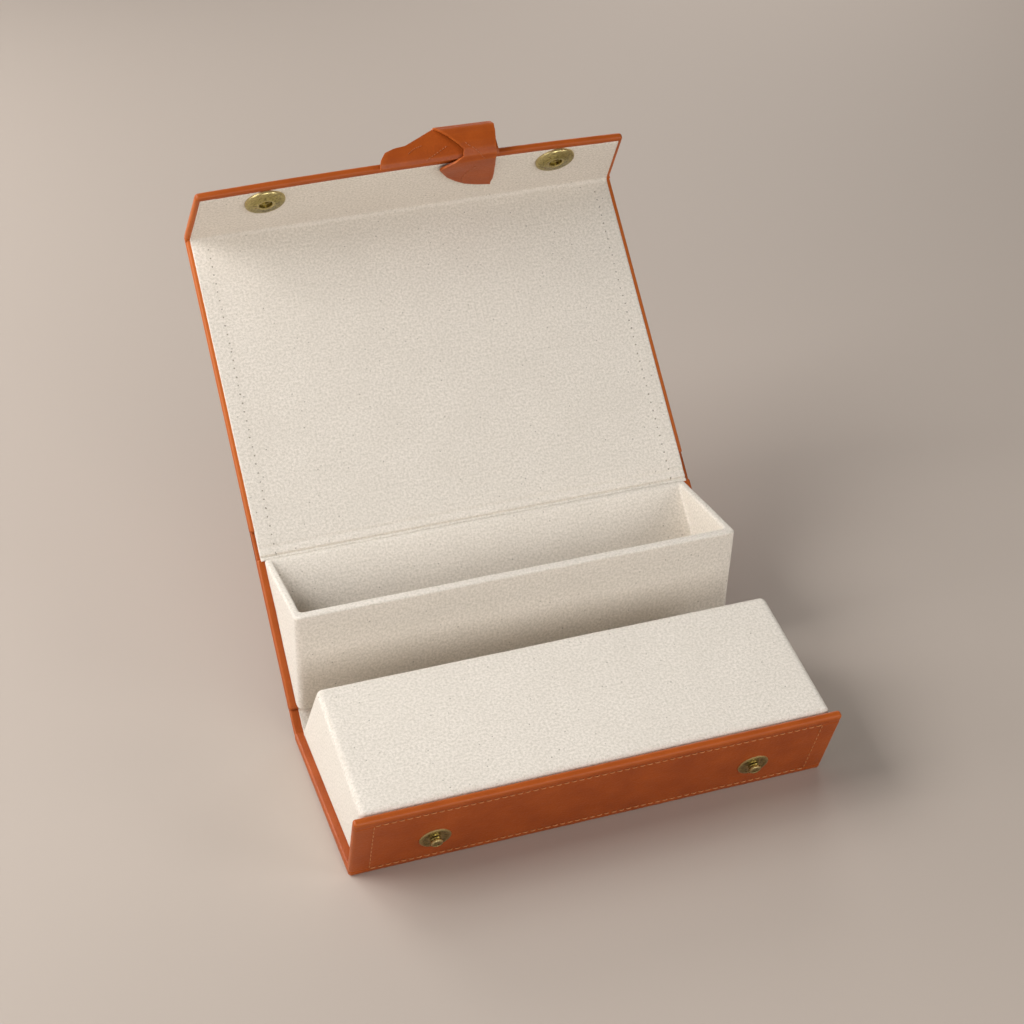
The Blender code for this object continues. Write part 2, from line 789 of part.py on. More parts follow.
def tab_stations():
    """The folded strap as rows of (left, right) points, from its foot round the fold to its tip.

    It starts on the lining, goes over the flap's free edge and away from the box,
    folds back on itself and hangs down in front of the lining as a pointed end.
    """
    half = TAB_THICKNESS / 2
    layer = TAB_THICKNESS + GAP
    crown = FLAP_LENGTH + FLAP_ARCH
    foot_out = GAP + half
    over = crown + GAP + half
    front_out = foot_out + layer
    front_over = over + layer
    fold_over = (over + front_over + TAB_FOLD_RISE) / 2
    corner = TAB_THICKNESS
    rows = [(TAB_FOOT_LEFT, TAB_FOOT_RIGHT, crown - TAB_FOOT_OVERLAP, foot_out)]
    for way in arc(Vector((over - corner, foot_out - corner)), corner, 90, 0, BEND_STEPS):
        rows.append((TAB_FOOT_LEFT, TAB_FOOT_RIGHT, way.x, way.y))
    rows.append((TAB_WAIST_LEFT, TAB_FOOT_RIGHT, over, -LINED_PANEL))
    halfway = -LINED_PANEL - TAB_REACH / 2
    rows.append((0, TAB_FOLD_RIGHT, over + TAB_FOLD_RISE / 2, halfway))
    for way in arc(Vector((fold_over, -TAB_REACH)), layer / 2, 180, 360, BEND_STEPS):
        rows.append((TAB_FOLD_LEFT, TAB_FOLD_RIGHT, way.x, way.y))
    notch_over = front_over + TAB_FOLD_RISE / 2
    rows.append((TAB_NOTCH - TAB_THICKNESS, TAB_FOLD_RIGHT, notch_over, -LINED_PANEL))
    for way in arc(Vector((front_over - corner, front_out - corner)), corner, 0, 90, BEND_STEPS):
        rows.append((TAB_NOTCH, TAB_FOLD_RIGHT, way.x, way.y))
    rows.append((TAB_POINT_LEFT, TAB_POINT_RIGHT, TAB_POINT_ALONG, front_out))
    rows.append((TAB_SHOULDER_LEFT, TAB_POINT_RIGHT, TAB_SHOULDER_ALONG, front_out))
    rows.append((TAB_TIP_LEFT, TAB_TIP_RIGHT, TAB_TIP_ALONG, front_out))
    return rows


def build_tab(flap):
    bm = bmesh.new()
    rows = []
    for left, right, along, out in tab_stations():
        row = []
        for i in range(TAB_STEPS + 1):
            share = i / TAB_STEPS
            row.append(bm.verts.new((left + (right - left) * share, along, out)))
        rows.append(row)
    for lower, upper in zip(rows, rows[1:]):
        for i in range(TAB_STEPS):
            bm.faces.new((lower[i], lower[i + 1], upper[i + 1], upper[i]))
    tab = piece("pull_tab", bm, flap, LEATHER_LOOK, smooth=True)
    thick = tab.modifiers.new("leather", "SOLIDIFY")
    thick.thickness = TAB_THICKNESS
    thick.offset = 0
    thick.use_even_offset = True


def build():
    clear_scene()
    section = Section()
    root = frame("base_frame", Vector((0, 0)), 0)
    front = frame("front_frame", section.front_edge, 90 + FRONT_LEAN + 180, root)
    spine = frame("spine_axis", section.spine_axis, SPINE_RISE, root)
    cover = frame("cover_axis", section.cover_axis, SPINE_RISE, spine)
    flap = frame("flap_axis", section.fold_axis, SPINE_RISE + FLAP_FOLD, cover)
    build_base(root, front)
    build_block(root)
    build_spine(spine)
    build_tray(spine)
    build_cover(cover)
    build_fold(cover)
    build_flap(flap)
    for name, across in snap_places():
        build_stud(front, name, across)
        build_socket(flap, name, across)
    build_tab(flap)


build()
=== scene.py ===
import math

import bmesh
import bpy
from mathutils import Matrix, Vector, noise


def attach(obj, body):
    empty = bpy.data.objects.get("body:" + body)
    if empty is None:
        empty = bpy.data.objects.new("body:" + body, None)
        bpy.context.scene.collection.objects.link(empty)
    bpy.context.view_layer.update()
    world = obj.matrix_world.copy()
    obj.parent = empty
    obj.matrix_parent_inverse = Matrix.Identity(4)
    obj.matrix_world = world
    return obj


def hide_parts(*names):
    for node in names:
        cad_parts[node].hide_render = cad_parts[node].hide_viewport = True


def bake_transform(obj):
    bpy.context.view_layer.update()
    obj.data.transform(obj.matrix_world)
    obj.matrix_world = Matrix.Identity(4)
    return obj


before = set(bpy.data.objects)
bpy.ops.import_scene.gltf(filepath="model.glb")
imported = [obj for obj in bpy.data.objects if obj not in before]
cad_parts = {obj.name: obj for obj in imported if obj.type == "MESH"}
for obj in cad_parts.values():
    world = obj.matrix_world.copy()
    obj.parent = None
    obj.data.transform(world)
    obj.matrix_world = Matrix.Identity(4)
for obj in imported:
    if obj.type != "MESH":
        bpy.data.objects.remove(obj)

# Lengths are in millimetres, and MM turns them into metres
MM = 0.001

# The panels of the open box in its section
HALF_WIDTH = 100.0
FRONT_EDGE = -45.0
BACK_EDGE = 45.0
FRONT_ANGLE = 113.0
BACK_ANGLE = 44.45
FLAP_ANGLE = 129.34
FRONT_TOP = 42.1
PANEL = 3.4
LINED = 3.7
SPINE_START = 12.19
SPINE_END = 78.29
COVER_START = 90.59
FOLD_ALONG = 225.54
FLAP_LENGTH = 37.1
FLAP_ARCH = 2.8
FLAP_TAPER = 2.8
RIM = 2.0

# How far the leather's edges are rounded: where a panel ends by a gutter, at the foot, elsewhere
PANEL_EDGE = 0.9
FOOT_EDGE = 1.6
SOFT_EDGE = 1.3

# The seams pressed into the front wall, up from its foot
SEAM_LOW = 3.2
SEAM_HIGH = 38.3
SEAM_INSET = 8.0
GROOVE_HALF = 0.7
GROOVE_DEPTH = 0.22
GROOVE_EDGE = 0.3

# Half the block's width, and its upper back edge
BLOCK_HALF = 96.7
BLOCK_TOP = (7.8, 52.1)

# The row of needle holes along each side of the lining
HOLES_ACROSS = 91.0
HOLE_PITCH = 4.0

# A fixed seed, without which the rumpling would differ from run to run
NOISE_SEED = 7
noise.seed_set(NOISE_SEED)

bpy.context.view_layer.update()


class Panel:
    """A flat panel: places on it go across the box, along the panel and in from its outer face."""

    def __init__(self, y, z, degrees, side=1):
        turn = math.radians(degrees)
        self.origin = Vector((0, y, z))
        self.along = Vector((0, math.cos(turn), math.sin(turn)))
        self.inward = Vector((0, -math.sin(turn), math.cos(turn))) * side

    def at(self, across, along, inward):
        place = self.origin + self.along * along + self.inward * inward
        return (place + Vector((across, 0, 0))) * MM

    def flat(self, along, inward):
        """The same in the section alone, in millimetres."""
        place = self.origin + self.along * along + self.inward * inward
        return Vector((place.y, place.z))


BASE = Panel(FRONT_EDGE, 0, 0)
FRONT = Panel(FRONT_EDGE, 0, FRONT_ANGLE, side=-1)
BACK = Panel(BACK_EDGE, 0, BACK_ANGLE)
FOLD = BACK.flat(FOLD_ALONG, LINED)
FLAP_IN = Panel(FOLD.x, FOLD.y, FLAP_ANGLE)
FLAP_OUT = FLAP_IN.flat(0, -LINED)
FLAP = Panel(FLAP_OUT.x, FLAP_OUT.y, FLAP_ANGLE)


# Outlines


# The turn, as a sine, under which two sides count as one line, and the smallest rounding
NEARLY_STRAIGHT = 0.02
LEAST_RADIUS = 0.03


def smooth(share):
    share = min(1.0, max(0.0, share))
    return share * share * (3 - 2 * share)


def area_of(places):
    total = 0
    for i, here in enumerate(places):
        after = places[(i + 1) % len(places)]
        total += here.x * after.y - after.x * here.y
    return total / 2


def crossing(start, way, other, other_way):
    """Where the line through start along way meets the line through other along other_way."""
    across = way.x * other_way.y - way.y * other_way.x
    apart = other - start
    return start + way * ((apart.x * other_way.y - apart.y * other_way.x) / across)


def moved_in(places, amounts):
    """An outline's corners after each side has moved in by its own amount."""
    count = len(places)
    turn = 1 if area_of(places) > 0 else -1
    lines = []
    for i, here in enumerate(places):
        way = (places[(i + 1) % count] - here).normalized()
        inward = Vector((-way.y, way.x)) * turn
        lines.append((here + inward * amounts[i], way, inward * amounts[i]))
    moved = []
    for i, here in enumerate(places):
        start, before, first = lines[i - 1]
        other, after, second = lines[i]
        if abs(before.x * after.y - before.y * after.x) < NEARLY_STRAIGHT:
            moved.append(here + (first + second) / 2)
        else:
            moved.append(crossing(start, before, other, after))
    return moved


def rounded(corners, inset=0.0, still=(), steps=6):
    """Points round an outline of (x, y, radius) corners, drawn in but for the sides kept still."""
    count = len(corners)
    places = [Vector(corner[:2]) for corner in corners]
    turn = 1 if area_of(places) > 0 else -1
    amounts = [0.0 if i in still else inset for i in range(count)]
    moved = moved_in(places, amounts)
    points = []
    for i, here in enumerate(moved):
        radius = corners[i][2]
        if not radius:
            points.append(here)
            continue
        back = (places[i - 1] - places[i]).normalized()
        on = (places[(i + 1) % count] - places[i]).normalized()
        bulges = (on.x * back.y - on.y * back.x) * turn > 0
        radius = max(LEAST_RADIUS, radius - inset) if bulges else radius + inset
        half = back.angle(on) / 2
        middle = here + (back + on).normalized() * (radius / math.sin(half))
        start = (here + back * (radius / math.tan(half)) - middle).normalized()
        end = (here + on * (radius / math.tan(half)) - middle).normalized()
        for k in range(steps + 1):
            way = start.slerp(end, k / steps)
            points.append(middle + way * radius)
    return points


# Meshes


def rumpled(place, amount, size):
    """A place moved a little by a smooth field, so that made edges aren't ruler-straight."""
    if not amount:
        return place
    return place + noise.noise_vector(place / (size * MM)) * (amount * MM)


def lofted(rings):
    bm = bmesh.new()
    rows = [[bm.verts.new(p) for p in ring] for ring in rings]
    count = len(rows[0])
    for lower, upper in zip(rows, rows[1:]):
        for i in range(count):
            j = (i + 1) % count
            bm.faces.new((lower[i], lower[j], upper[j], upper[i]))
    bm.faces.new(rows[0])
    bm.faces.new(rows[-1])
    return bm


def stations(half, radius, spacing, steps=6):
    """(across, how far the outline is drawn in there) from one rounded end to the other."""
    turns = [math.pi / 2 * i / steps for i in range(steps + 1)]
    ends = [
        (half - radius + radius * math.sin(turn), radius * (1 - math.cos(turn))) for turn in turns
    ]
    count = max(1, round(2 * (half - radius) / spacing))
    middle = [
        (-(half - radius) + 2 * (half - radius) * i / count, 0.0) for i in range(1, count)
    ]
    return [(-across, inset) for across, inset in reversed(ends)] + middle + ends


def swept(corners, half, radius, still=(), spacing=5.0, amount=0.06, size=22.0, steps=6):
    """A section of (y, z, radius) corners drawn out across the box, with its ends rounded."""
    rings = []
    for across, inset in stations(half, radius, spacing, steps):
        ring = rounded(corners, inset, still, steps)
        rings.append([rumpled(Vector((across, p.x, p.y)) * MM, amount, size) for p in ring])
    return lofted(rings)


def thing(name, bm, look, body=None, crease=40):
    """An object from a bmesh, smooth but for its creases, that rides on a body."""
    bmesh.ops.recalc_face_normals(bm, faces=bm.faces)
    mesh = bpy.data.meshes.new(name)
    bm.to_mesh(mesh)
    bm.free()
    made = bpy.data.objects.new(name, mesh)
    bpy.context.scene.collection.objects.link(made)
    mesh.materials.append(look)
    mesh.shade_smooth()
    mesh.set_sharp_from_angle(angle=math.radians(crease))
    if body:
        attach(made, body)
    return made


def cloth_map(made, panel):
    """Lays flat millimetre coordinates on each face, seen along whichever way the face looks."""
    mesh = made.data
    layer = mesh.uv_layers.new(name="cloth")
    axes = (Vector((1, 0, 0)), panel.along, panel.inward)
    for face in mesh.polygons:
        facing = [abs(face.normal.dot(axis)) for axis in axes]
        away = facing.index(max(facing))
        first, second = [axis for i, axis in enumerate(axes) if i != away]
        for loop in face.loop_indices:
            place = mesh.vertices[mesh.loops[loop].vertex_index].co / MM
            layer.data[loop].uv = (place.dot(first), place.dot(second))
    return made


# Finishes


class Finish:
    """A material and short ways to add nodes to it."""

    def __init__(self, name):
        self.material = bpy.data.materials.new(name)
        self.material.use_nodes = True
        self.tree = self.material.node_tree
        self.shader = self.tree.nodes["Principled BSDF"]

    def node(self, kind, **values):
        made = self.tree.nodes.new(kind)
        for key, value in values.items():
            setattr(made, key, value)
        return made

    def link(self, source, target):
        self.tree.links.new(source, target)

    def put(self, socket, value):
        if isinstance(value, bpy.types.NodeSocket):
            self.link(value, socket)
        else:
            socket.default_value = value

    def cloth(self, scale):
        """The flat coordinates, times a scale."""
        source = self.node("ShaderNodeUVMap", uv_map="cloth")
        mapping = self.node("ShaderNodeMapping")
        mapping.inputs["Scale"].default_value = (scale, scale, scale)
        self.link(source.outputs["UV"], mapping.inputs["Vector"])
        return mapping.outputs["Vector"]

    def noise(self, vector, scale, detail=3.0, roughness=0.5):
        made = self.node("ShaderNodeTexNoise")
        self.link(vector, made.inputs["Vector"])
        made.inputs["Scale"].default_value = scale
        made.inputs["Detail"].default_value = detail
        made.inputs["Roughness"].default_value = roughness
        return made.outputs["Fac"]

    def spread(self, value, low, high, to_low, to_high):
        made = self.node("ShaderNodeMapRange")
        made.inputs["From Min"].default_value = low
        made.inputs["From Max"].default_value = high
        made.inputs["To Min"].default_value = to_low
        made.inputs["To Max"].default_value = to_high
        self.link(value, made.inputs["Value"])
        return made.outputs["Result"]

    def mix(self, share, first, second, blend="MIX"):
        made = self.node("ShaderNodeMix", data_type="RGBA", blend_type=blend)
        self.put(made.inputs[0], share)
        self.put(made.inputs[6], first)
        self.put(made.inputs[7], second)
        return made.outputs[2]

    def maths(self, operation, first, second=0.0):
        made = self.node("ShaderNodeMath", operation=operation)
        self.put(made.inputs[0], first)
        self.put(made.inputs[1], second)
        return made.outputs[0]

    def bump(self, height, strength, distance, under=None):
        made = self.node("ShaderNodeBump")
        made.inputs["Strength"].default_value = strength
        made.inputs["Distance"].default_value = distance
        self.link(height, made.inputs["Height"])
        if under is not None:
            self.link(under, made.inputs["Normal"])
        return made.outputs["Normal"]


def leather_finish(name, tone, deep, light, gloss):
    """Full-grain leather: pebbled, with cloudy tone, and paler along its edges, partly from rubbed
    wear and partly from a painted highlight.
    """
    finish = Finish(name)
    flat = finish.cloth(1.0)
    cloud = finish.noise(flat, 0.07, 4.0, 0.55)
    fine = finish.noise(flat, 1.4, 3.0, 0.6)
    pebble = finish.node("ShaderNodeTexVoronoi", feature="SMOOTH_F1")
    pebble.inputs["Scale"].default_value = 0.9
    pebble.inputs["Smoothness"].default_value = 0.6
    finish.link(flat, pebble.inputs["Vector"])
    grain = pebble.outputs["Distance"]
    clouded = finish.mix(finish.spread(cloud, 0.32, 0.68, 0.0, 1.0), deep, tone)
    speckled = finish.mix(finish.spread(fine, 0.35, 0.75, 0.0, 0.35), clouded, deep)
    # Edges paler by pointiness: partly rubbed wear, partly a painted highlight along the lit edges
    point = finish.node("ShaderNodeNewGeometry").outputs["Pointiness"]
    worn_and_highlit = finish.spread(point, 0.505, 0.56, 0.0, 0.7)
    finish.link(finish.mix(worn_and_highlit, speckled, light), finish.shader.inputs["Base Color"])
    rough = finish.spread(fine, 0.3, 0.7, gloss - 0.06, gloss + 0.1)
    finish.link(rough, finish.shader.inputs["Roughness"])
    finish.shader.inputs["Specular IOR Level"].default_value = 0.27
    low = finish.bump(cloud, 0.25, 0.0012)
    mid = finish.bump(fine, 0.25, 0.00012, low)
    finish.link(finish.bump(grain, 0.35, 0.00018, mid), finish.shader.inputs["Normal"])
    return finish.material


def needle_holes(finish, flat, parts):
    """Where a needle pricked the lining: uneven dark dots in a row along each side."""
    stray = finish.maths("MULTIPLY", finish.maths("SUBTRACT", finish.noise(flat, 0.3), 0.5), 1.6)
    across = finish.maths("SUBTRACT", finish.maths("ABSOLUTE", parts.outputs["X"]), HOLES_ACROSS)
    across = finish.maths("ADD", across, stray)
    along = finish.maths("PINGPONG", finish.maths("ADD", parts.outputs["Y"], stray), HOLE_PITCH / 2)
    away = finish.maths("SQRT", finish.maths(
        "ADD", finish.maths("POWER", across, 2.0), finish.maths("POWER", along, 2.0)
    ))
    return finish.spread(away, 0.22, 0.46, 0.9, 0.0)


def linen_finish(name, tone, shade, fleck, pricked=False):
    """Fine plain-woven linen with uneven threads and dark flecks, pricked or not by a needle."""
    finish = Finish(name)
    flat = finish.cloth(1.0)
    drift = finish.noise(flat, 0.35, 2.0)
    sway = finish.maths("MULTIPLY", drift, 5.0)
    parts = finish.node("ShaderNodeSeparateXYZ")
    finish.link(flat, parts.inputs["Vector"])
    threads = []
    for axis in ("X", "Y"):
        run = finish.maths("MULTIPLY", parts.outputs[axis], 8.4)
        threads.append(finish.maths("SINE", finish.maths("ADD", run, sway)))
    weave = finish.maths("MULTIPLY", threads[0], threads[1])
    slub = finish.noise(flat, 0.95, 4.0, 0.7)
    grain = finish.noise(flat, 2.4, 2.0, 0.6)
    cloud = finish.noise(flat, 0.05, 3.0)
    pale = tuple(min(0.92, c * 1.12) for c in tone[:3]) + (1,)
    base = finish.mix(finish.spread(slub, 0.38, 0.62, 0.0, 1.0), shade, tone)
    base = finish.mix(finish.spread(grain, 0.55, 0.75, 0.0, 0.5), base, pale)
    base = finish.mix(finish.spread(cloud, 0.35, 0.65, 0.0, 0.16), base, shade)
    base = finish.mix(finish.spread(weave, -1.0, 1.0, 0.0, 0.10), base, shade)
    spots = finish.node("ShaderNodeTexVoronoi", feature="F1")
    spots.inputs["Scale"].default_value = 0.22
    finish.link(flat, spots.inputs["Vector"])
    dot = finish.spread(spots.outputs["Distance"], 0.03, 0.09, 0.75, 0.0)
    base = finish.mix(dot, base, fleck)
    if pricked:
        base = finish.mix(needle_holes(finish, flat, parts), base, fleck)
    finish.link(base, finish.shader.inputs["Base Color"])
    finish.shader.inputs["Roughness"].default_value = 0.92
    finish.shader.inputs["Specular IOR Level"].default_value = 0.12
    finish.shader.inputs["Sheen Weight"].default_value = 0.12
    finish.shader.inputs["Sheen Roughness"].default_value = 0.5
    soft = finish.bump(cloud, 0.3, 0.0012)
    rough = finish.bump(slub, 0.5, 0.00022, soft)
    rough = finish.bump(grain, 0.4, 0.00010, rough)
    finish.link(finish.bump(weave, 0.25, 0.00008, rough), finish.shader.inputs["Normal"])
    return finish.material


def brass_finish(name):
    """Antique brass: rubbed bright on raised edges, dark and mottled elsewhere."""
    finish = Finish(name)
    flat = finish.cloth(1.0)
    mottle = finish.noise(flat, 0.9, 4.0, 0.6)
    dark = (0.13, 0.095, 0.035, 1)
    mid = (0.42, 0.35, 0.13, 1)
    bright = (0.72, 0.60, 0.30, 1)
    base = finish.mix(finish.spread(mottle, 0.3, 0.6, 0.0, 1.0), dark, mid)
    point = finish.node("ShaderNodeNewGeometry").outputs["Pointiness"]
    base = finish.mix(finish.spread(point, 0.5, 0.58, 0.0, 0.8), base, bright)
    spots = finish.node("ShaderNodeTexVoronoi", feature="F1")
    spots.inputs["Scale"].default_value = 0.26
    finish.link(flat, spots.inputs["Vector"])
    spot = finish.spread(spots.outputs["Distance"], 0.07, 0.16, 0.8, 0.0)
    base = finish.mix(spot, base, (0.20, 0.05, 0.02, 1))
    finish.link(base, finish.shader.inputs["Base Color"])
    finish.shader.inputs["Metallic"].default_value = 1.0
    rough = finish.spread(mottle, 0.3, 0.7, 0.42, 0.24)
    finish.link(rough, finish.shader.inputs["Roughness"])
    finish.link(finish.bump(mottle, 0.3, 0.00008), finish.shader.inputs["Normal"])
    return finish.material


def thread_finish(name, tone):
    """Waxed thread with its twist."""
    finish = Finish(name)
    flat = finish.cloth(1.0)
    twist = finish.node("ShaderNodeTexWave", bands_direction="DIAGONAL")
    twist.inputs["Scale"].default_value = 1.6
    finish.link(flat, twist.inputs["Vector"])
    dark = tuple(c * 0.7 for c in tone[:3]) + (1,)
    base = finish.mix(finish.spread(twist.outputs["Fac"], 0.0, 1.0, 0.0, 1.0), dark, tone)
    finish.link(base, finish.shader.inputs["Base Color"])
    finish.shader.inputs["Roughness"].default_value = 0.55
    finish.link(finish.bump(twist.outputs["Fac"], 0.4, 0.0001), finish.shader.inputs["Normal"])
    return finish.material


# The third tone is the pale edge colour: partly rubbed wear, partly a painted highlight
LEATHER = leather_finish(
    "orange_leather", (0.385, 0.076, 0.009, 1), (0.300, 0.054, 0.006, 1), (0.56, 0.140, 0.022, 1), 0.42
)
LINEN_TONES = ((0.850, 0.775, 0.690, 1), (0.630, 0.570, 0.485, 1), (0.23, 0.19, 0.14, 1))
LINEN = linen_finish("natural_linen", *LINEN_TONES)
LINEN_PRICKED = linen_finish("pricked_linen", *LINEN_TONES, pricked=True)
BRASS = brass_finish("antique_brass")
THREAD = thread_finish("orange_thread", (0.60, 0.225, 0.075, 1))
TAB_THREAD = thread_finish("tab_thread", (0.46, 0.13, 0.035, 1))


# Base, front wall and block


def base_outline():
    """Along and in, round the base and up the front wall, in the section."""
    half_corner = math.radians(FRONT_ANGLE) / 2
    inner = FRONT.flat(PANEL / math.tan(half_corner), PANEL)
    corners = [(BACK_EDGE, 0.0, PANEL_EDGE), (FRONT_EDGE, 0.0, FOOT_EDGE)]
    marks = []
    for seam in (SEAM_LOW, SEAM_HIGH):
        marks.append((seam - GROOVE_HALF, 0.0, GROOVE_EDGE))
        marks.append((seam, GROOVE_DEPTH, GROOVE_EDGE))
        marks.append((seam + GROOVE_HALF, 0.0, GROOVE_EDGE))
    marks += [(FRONT_TOP, 0.0, SOFT_EDGE), (FRONT_TOP, PANEL, SOFT_EDGE)]
    for along, inward, radius in marks:
        place = FRONT.flat(along, inward)
        corners.append((place.x, place.y, radius))
    corners.append((inner.x, inner.y, 0))
    corners.append((BACK_EDGE, PANEL, PANEL_EDGE))
    return corners


def make_base():
    made = thing("leather_base", swept(base_outline(), HALF_WIDTH, SOFT_EDGE), LEATHER, "base")
    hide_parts("base_leather", "base_board", "front_board")
    return cloth_map(made, FRONT)


def make_block():
    behind = PANEL + 0.25
    front_foot = FRONT.flat(behind / math.tan(math.radians(FRONT_ANGLE / 2)), behind)
    front_top = FRONT.flat(FRONT_TOP - 0.6, behind)
    corners = [
        (front_foot.x, PANEL + 0.2, 0.5),
        (BACK_EDGE - 0.5, PANEL + 0.2, 0.5),
        (*BLOCK_TOP, 3.4),
        (front_top.x, front_top.y, 2.6),
    ]
    block = swept(corners, BLOCK_HALF, 2.6, spacing=4, amount=0.16, size=18)
    made = thing("linen_block", block, LINEN, "base")
    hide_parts("block_fabric", "block_core")
    return cloth_map(made, BASE)


# Gutters, spine, cover and fold


def slab(name, start, end, body, *nodes):
    corners = []
    for along, inward in ((start, 0), (end, 0), (end, PANEL), (start, PANEL)):
        place = BACK.flat(along, inward)
        corners.append((place.x, place.y, 0 if along == FOLD_ALONG else PANEL_EDGE))
    still = (1,) if end == FOLD_ALONG else ()
    made = thing(name, swept(corners, HALF_WIDTH, SOFT_EDGE, still), LEATHER, body)
    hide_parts(*nodes)
    return cloth_map(made, BACK)


def strip(name, path, outer, inner, half, radius, look, spacing=5.0):
    """A thin bent strip: path gives (place, inward way) pairs, and outer and inner how far in."""
    last = len(path) - 1
    out_side = [place + way * outer(i / last) for i, (place, way) in enumerate(path)]
    in_side = [place + way * inner(i / last) for i, (place, way) in enumerate(path)]
    corners = [(place.x, place.y, 0) for place in out_side + list(reversed(in_side))]
    return thing(name, swept(corners, half, radius, spacing=spacing, steps=4), look)


def spine_path():
    """From inside the base, round the gutter and into the spine."""
    path = []
    reach = 6.5
    start = Vector((BACK_EDGE - reach, 0))
    way = Vector((math.cos(math.radians(BACK_ANGLE)), math.sin(math.radians(BACK_ANGLE))))
    corner = Vector((BACK_EDGE, 0))
    end = corner + way * reach
    for i in range(4):
        path.append((Vector((BACK_EDGE - reach - 3 + i, 0)), 0.0))
    for i in range(13):
        share = i / 12
        place = start * (1 - share) ** 2 + corner * 2 * share * (1 - share) + end * share**2
        path.append((place, BACK_ANGLE * share))
    for i in range(1, 9):
        path.append((corner + way * (reach + i), BACK_ANGLE))
    made = []
    for place, angle in path:
        turn = math.radians(angle)
        made.append((place, Vector((-math.sin(turn), math.cos(turn)))))
    return made


def make_spine_gutter():
    made = strip(
        "leather_spine_gutter",
        spine_path(),
        lambda share: 0.12,
        lambda share: 2.0,
        HALF_WIDTH - 0.15,
        0.9,
        LEATHER,
    )
    cloth_map(made, BACK)
    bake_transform(made)
    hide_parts("spine_gutter_leather")
    lining = strip(
        "linen_spine_gutter",
        spine_path(),
        lambda share: 1.6,
        lambda share: 2.6,
        HALF_WIDTH - 4.0,
        0.3,
        LINEN,
    )
    cloth_map(lining, BACK)
    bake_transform(lining)
    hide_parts("spine_gutter_lining")


def back_path(start, end, count):
    return [
        (BACK.flat(start + (end - start) * i / count, 0), Vector(BACK.inward.yz))
        for i in range(count + 1)
    ]


def make_cover_gutter():
    start, end = SPINE_END - 1.5, COVER_START + 1.5
    made = strip(
        "leather_cover_gutter",
        back_path(start, end, 16),
        lambda share: 0.1 + 0.3 * smooth(4 * share) * smooth(4 - 4 * share),
        lambda share: 1.8,
        HALF_WIDTH - 0.15,
        1.0,
        LEATHER,
    )
    cloth_map(made, BACK)
    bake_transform(made)
    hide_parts("cover_gutter_leather")


def lining_depth(along):
    """How far in the lining's face is along the back: pressed at the gutter, tucked in at the tray."""
    pressed = math.exp(-(((along - 82.7) / 0.9) ** 2)) * 0.35
    tucked = math.exp(-(((along - 79.0) / 0.35) ** 2)) * 0.8
    board = smooth((along - 83.0) / 6.0)
    return LINED - 0.15 * (1 - board) - pressed - tucked


# How far the lining's cut edge is rounded off
CUT_EDGE = 0.45


def edge_spaced(i, count):
    """From -1 to 1 in even steps, but for fine ones by both ends."""
    fine = (0.0, 0.0006, 0.002, 0.0046, 0.010)
    near = min(i, count - i)
    if near < len(fine):
        share = 1 - fine[near]
        return share if i > count / 2 else -share
    inner = 1 - fine[-1]
    steps = count - 2 * (len(fine) - 1)
    return -inner + 2 * inner * (i - (len(fine) - 1)) / steps


def edge_drop(inside, radius):
    """How far a rounded edge has dropped this far inside the sheet's outline."""
    if inside >= radius:
        return 0.0
    return radius - math.sqrt(max(0.0, radius**2 - (radius - inside) ** 2))


def sheet_mesh(place, span, start, end, across_count, along_count, under, round_off=CUT_EDGE):
    """A thin closed sheet: place(across, along, depth) gives a point, and its ends are rounded."""
    bm = bmesh.new()
    top = []
    low = []
    for j in range(along_count + 1):
        along = start + (end - start) * j / along_count
        upper_row = []
        lower_row = []
        for i in range(across_count + 1):
            half = span(along)
            across = half * edge_spaced(i, across_count)
            drop = edge_drop(half - abs(across), round_off)
            upper_row.append(bm.verts.new(place(across, along, -drop)))
            lower_row.append(bm.verts.new(place(across, along, -under)))
        top.append(upper_row)
        low.append(lower_row)
    rows, columns = len(top), len(top[0])
    for j in range(rows - 1):
        for i in range(columns - 1):
            bm.faces.new((top[j][i], top[j][i + 1], top[j + 1][i + 1], top[j + 1][i]))
            bm.faces.new((low[j][i], low[j + 1][i], low[j + 1][i + 1], low[j][i + 1]))
    for j in range(rows - 1):
        for i in (0, columns - 1):
            bm.faces.new((top[j][i], top[j + 1][i], low[j + 1][i], low[j][i]))
    for i in range(columns - 1):
        for j in (0, rows - 1):
            bm.faces.new((top[j][i], top[j][i + 1], low[j][i + 1], low[j][i]))
    return bm


# The linen's thickness with its paste, how far its crease reaches, and how much it rumples
LINING_UNDER = 0.9
CREASE_REACH = 2.0
LINING_RUMPLE = (0.05, 16)


def turn_in(across, half):
    """The lining stands a little higher over the leather turned in under its sides."""
    return 0.16 * smooth((abs(across) - (half - 7.4)) / 1.2)


def make_cover_lining():
    half = HALF_WIDTH - RIM

    def place(across, along, depth):
        height = lining_depth(along) + turn_in(across, half) + depth
        return rumpled(BACK.at(across, along, height), *LINING_RUMPLE)

    gutter = sheet_mesh(place, lambda along: half, 77.2, COVER_START, 120, 56, 1.5)
    made = thing("linen_cover_gutter", gutter, LINEN_PRICKED)
    cloth_map(made, BACK)
    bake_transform(made)
    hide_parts("cover_gutter_lining")
    end = FOLD_ALONG - CREASE_REACH
    sheet = sheet_mesh(place, lambda along: half, COVER_START, end, 120, 60, LINING_UNDER)
    made = thing("linen_cover", sheet, LINEN_PRICKED, "cover")
    cloth_map(made, BACK)
    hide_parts("cover_lining")


